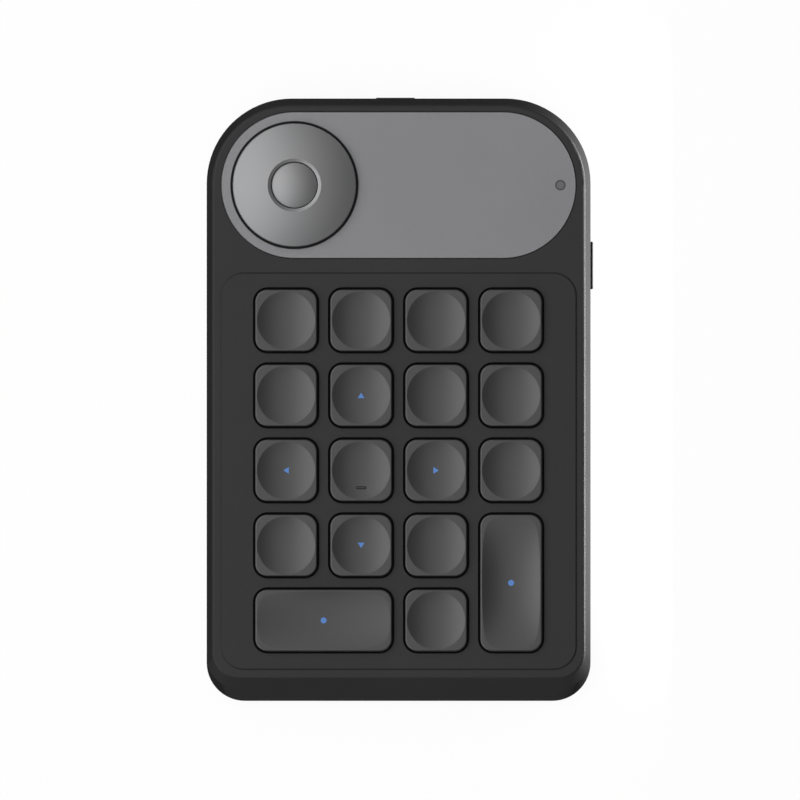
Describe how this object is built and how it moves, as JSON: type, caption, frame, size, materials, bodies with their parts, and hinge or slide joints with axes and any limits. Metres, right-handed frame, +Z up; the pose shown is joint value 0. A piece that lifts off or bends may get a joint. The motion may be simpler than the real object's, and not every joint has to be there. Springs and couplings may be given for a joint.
{
  "type": "macro keypad with dial",
  "caption": "Flat wireless macro keypad with low dished keys, a domed turning dial with a push button in its centre, a side power button and a rear socket.",
  "frame": {"origin": "under the middle of the body, on the plane that the rubber feet stand on", "axes": "+X to the right side with the power button, +Y to the rear side with the socket, +Z up out of the keys"},
  "size_m": [0.0981, 0.1532, 0.016],
  "materials": {
    "housing_black": "fine spark-eroded grain, matte",
    "key_grey": "smooth satin",
    "plate_grey": "satin metallic coat",
    "dial_metal": "anodised, satin",
    "button_black": "matte",
    "foot_rubber": "matte",
    "smoked_lens": "smoked, semi-gloss",
    "lamp": "clear",
    "steel": "plain",
    "dark_steel": "dark plated",
    "inner_plastic": "as moulded",
    "silicone": "translucent grey silicone",
    "board": "solder mask",
    "battery_foil": "foil pouch",
    "tape": "foam tape",
    "plug_white": "as moulded",
    "lead_red": "insulation",
    "ribbon": "flat flexible cable"
  },
  "bodies": {
    "housing": {"bottom_case": "housing_black", "top_housing": "housing_black", "rubber_feet": "foot_rubber", "case_screws": "steel", "faceplate": "plate_grey", "status_lens": "smoked_lens", "status_led": "lamp", "key_frame": "inner_plastic", "dome_mat": "silicone", "dial_bush": "inner_plastic", "dial_clip": "steel", "encoder_body": "inner_plastic", "detent_spring": "steel", "button_switch": "inner_plastic", "power_switch": "inner_plastic", "key_board": "board", "main_board": "board", "usb_shell": "dark_steel", "usb_tongue": "inner_plastic", "battery": "battery_foil", "battery_tape": "tape", "battery_plug": "plug_white", "battery_leads": "lead_red", "radio_shield": "steel", "ribbon_sockets": "plug_white", "ribbon_cable": "ribbon"},
    "dial": {"dial_cap": "dial_metal", "dial_hub": "inner_plastic", "encoder_rotor": "plug_white"},
    "dial_button": {"dial_button": "dial_metal", "button_switch_actuator": "plug_white"},
    "power_button": {"power_button": "button_black", "power_switch_actuator": "plug_white"},
    "keycap_row1_col1": {"keycap_row1_col1": "key_grey"},
    "keycap_row1_col2": {"keycap_row1_col2": "key_grey"},
    "keycap_row1_col3": {"keycap_row1_col3": "key_grey"},
    "keycap_row1_col4": {"keycap_row1_col4": "key_grey"},
    "keycap_row2_col1": {"keycap_row2_col1": "key_grey"},
    "keycap_row2_col2": {"keycap_row2_col2": "key_grey"},
    "keycap_row2_col3": {"keycap_row2_col3": "key_grey"},
    "keycap_row2_col4": {"keycap_row2_col4": "key_grey"},
    "keycap_row3_col1": {"keycap_row3_col1": "key_grey"},
    "keycap_row3_col2": {"keycap_row3_col2": "key_grey"},
    "keycap_row3_col3": {"keycap_row3_col3": "key_grey"},
    "keycap_row3_col4": {"keycap_row3_col4": "key_grey"},
    "keycap_row4_col1": {"keycap_row4_col1": "key_grey"},
    "keycap_row4_col2": {"keycap_row4_col2": "key_grey"},
    "keycap_row4_col3": {"keycap_row4_col3": "key_grey"},
    "keycap_row5_col3": {"keycap_row5_col3": "key_grey"},
    "keycap_wide": {"keycap_wide": "key_grey"},
    "keycap_tall": {"keycap_tall": "key_grey"},
    "stabiliser_wide": {"stabiliser_wire_wide": "steel"},
    "stabiliser_tall": {"stabiliser_wire_tall": "steel"}
  },
  "joints": [
    {"name": "dial_turn", "type": "hinge", "parent": "housing", "child": "dial", "pos_m": [-0.02647, 0.0545, 0.012], "axis": [0, 0, 1], "continuous": true},
    {"name": "dial_button_press", "type": "slide", "parent": "housing", "child": "dial_button", "axis": [0, 0, -1], "range_m": [0, 0.0005], "stiffness_N_per_m": 1500, "springref_m": -0.0003},
    {"name": "power_button_press", "type": "slide", "parent": "housing", "child": "power_button", "axis": [-1, 0, 0], "range_m": [0, 0.0003], "stiffness_N_per_m": 2500, "springref_m": -0.0003},
    {"name": "key_row1_col1_press", "type": "slide", "parent": "housing", "child": "keycap_row1_col1", "axis": [0, 0, -1], "range_m": [0, 0.0018], "stiffness_N_per_m": 250, "springref_m": -0.0008, "deforming": ["dome_mat"]},
    {"name": "key_row1_col2_press", "type": "slide", "parent": "housing", "child": "keycap_row1_col2", "axis": [0, 0, -1], "range_m": [0, 0.0018], "stiffness_N_per_m": 250, "springref_m": -0.0008, "deforming": ["dome_mat"]},
    {"name": "key_row1_col3_press", "type": "slide", "parent": "housing", "child": "keycap_row1_col3", "axis": [0, 0, -1], "range_m": [0, 0.0018], "stiffness_N_per_m": 250, "springref_m": -0.0008, "deforming": ["dome_mat"]},
    {"name": "key_row1_col4_press", "type": "slide", "parent": "housing", "child": "keycap_row1_col4", "axis": [0, 0, -1], "range_m": [0, 0.0018], "stiffness_N_per_m": 250, "springref_m": -0.0008, "deforming": ["dome_mat"]},
    {"name": "key_row2_col1_press", "type": "slide", "parent": "housing", "child": "keycap_row2_col1", "axis": [0, 0, -1], "range_m": [0, 0.0018], "stiffness_N_per_m": 250, "springref_m": -0.0008, "deforming": ["dome_mat"]},
    {"name": "key_row2_col2_press", "type": "slide", "parent": "housing", "child": "keycap_row2_col2", "axis": [0, 0, -1], "range_m": [0, 0.0018], "stiffness_N_per_m": 250, "springref_m": -0.0008, "deforming": ["dome_mat"]},
    {"name": "key_row2_col3_press", "type": "slide", "parent": "housing", "child": "keycap_row2_col3", "axis": [0, 0, -1], "range_m": [0, 0.0018], "stiffness_N_per_m": 250, "springref_m": -0.0008, "deforming": ["dome_mat"]},
    {"name": "key_row2_col4_press", "type": "slide", "parent": "housing", "child": "keycap_row2_col4", "axis": [0, 0, -1], "range_m": [0, 0.0018], "stiffness_N_per_m": 250, "springref_m": -0.0008, "deforming": ["dome_mat"]},
    {"name": "key_row3_col1_press", "type": "slide", "parent": "housing", "child": "keycap_row3_col1", "axis": [0, 0, -1], "range_m": [0, 0.0018], "stiffness_N_per_m": 250, "springref_m": -0.0008, "deforming": ["dome_mat"]},
    {"name": "key_row3_col2_press", "type": "slide", "parent": "housing", "child": "keycap_row3_col2", "axis": [0, 0, -1], "range_m": [0, 0.0018], "stiffness_N_per_m": 250, "springref_m": -0.0008, "deforming": ["dome_mat"]},
    {"name": "key_row3_col3_press", "type": "slide", "parent": "housing", "child": "keycap_row3_col3", "axis": [0, 0, -1], "range_m": [0, 0.0018], "stiffness_N_per_m": 250, "springref_m": -0.0008, "deforming": ["dome_mat"]},
    {"name": "key_row3_col4_press", "type": "slide", "parent": "housing", "child": "keycap_row3_col4", "axis": [0, 0, -1], "range_m": [0, 0.0018], "stiffness_N_per_m": 250, "springref_m": -0.0008, "deforming": ["dome_mat"]},
    {"name": "key_row4_col1_press", "type": "slide", "parent": "housing", "child": "keycap_row4_col1", "axis": [0, 0, -1], "range_m": [0, 0.0018], "stiffness_N_per_m": 250, "springref_m": -0.0008, "deforming": ["dome_mat"]},
    {"name": "key_row4_col2_press", "type": "slide", "parent": "housing", "child": "keycap_row4_col2", "axis": [0, 0, -1], "range_m": [0, 0.0018], "stiffness_N_per_m": 250, "springref_m": -0.0008, "deforming": ["dome_mat"]},
    {"name": "key_row4_col3_press", "type": "slide", "parent": "housing", "child": "keycap_row4_col3", "axis": [0, 0, -1], "range_m": [0, 0.0018], "stiffness_N_per_m": 250, "springref_m": -0.0008, "deforming": ["dome_mat"]},
    {"name": "key_row5_col3_press", "type": "slide", "parent": "housing", "child": "keycap_row5_col3", "axis": [0, 0, -1], "range_m": [0, 0.0018], "stiffness_N_per_m": 250, "springref_m": -0.0008, "deforming": ["dome_mat"]},
    {"name": "key_wide_press", "type": "slide", "parent": "housing", "child": "keycap_wide", "axis": [0, 0, -1], "range_m": [0, 0.0018], "stiffness_N_per_m": 250, "springref_m": -0.0008, "deforming": ["dome_mat"]},
    {"name": "key_tall_press", "type": "slide", "parent": "housing", "child": "keycap_tall", "axis": [0, 0, -1], "range_m": [0, 0.0018], "stiffness_N_per_m": 250, "springref_m": -0.0008, "deforming": ["dome_mat"]},
    {"name": "stabiliser_wide_swing", "type": "hinge", "parent": "housing", "child": "stabiliser_wide", "pos_m": [-0.01905, -0.05055, 0.0077], "axis": [1, 0, 0], "range_deg": [0, 17.3]},
    {"name": "stabiliser_tall_swing", "type": "hinge", "parent": "housing", "child": "stabiliser_tall", "pos_m": [0.02307, -0.04652, 0.0077], "axis": [0, 1, 0], "range_deg": [0, 17.3]}
  ],
  "couplings": [
    {"joint": "stabiliser_wide_swing", "follows": "key_wide_press", "rad_per_m": 167.3},
    {"joint": "stabiliser_tall_swing", "follows": "key_tall_press", "rad_per_m": 167.3}
  ]
}
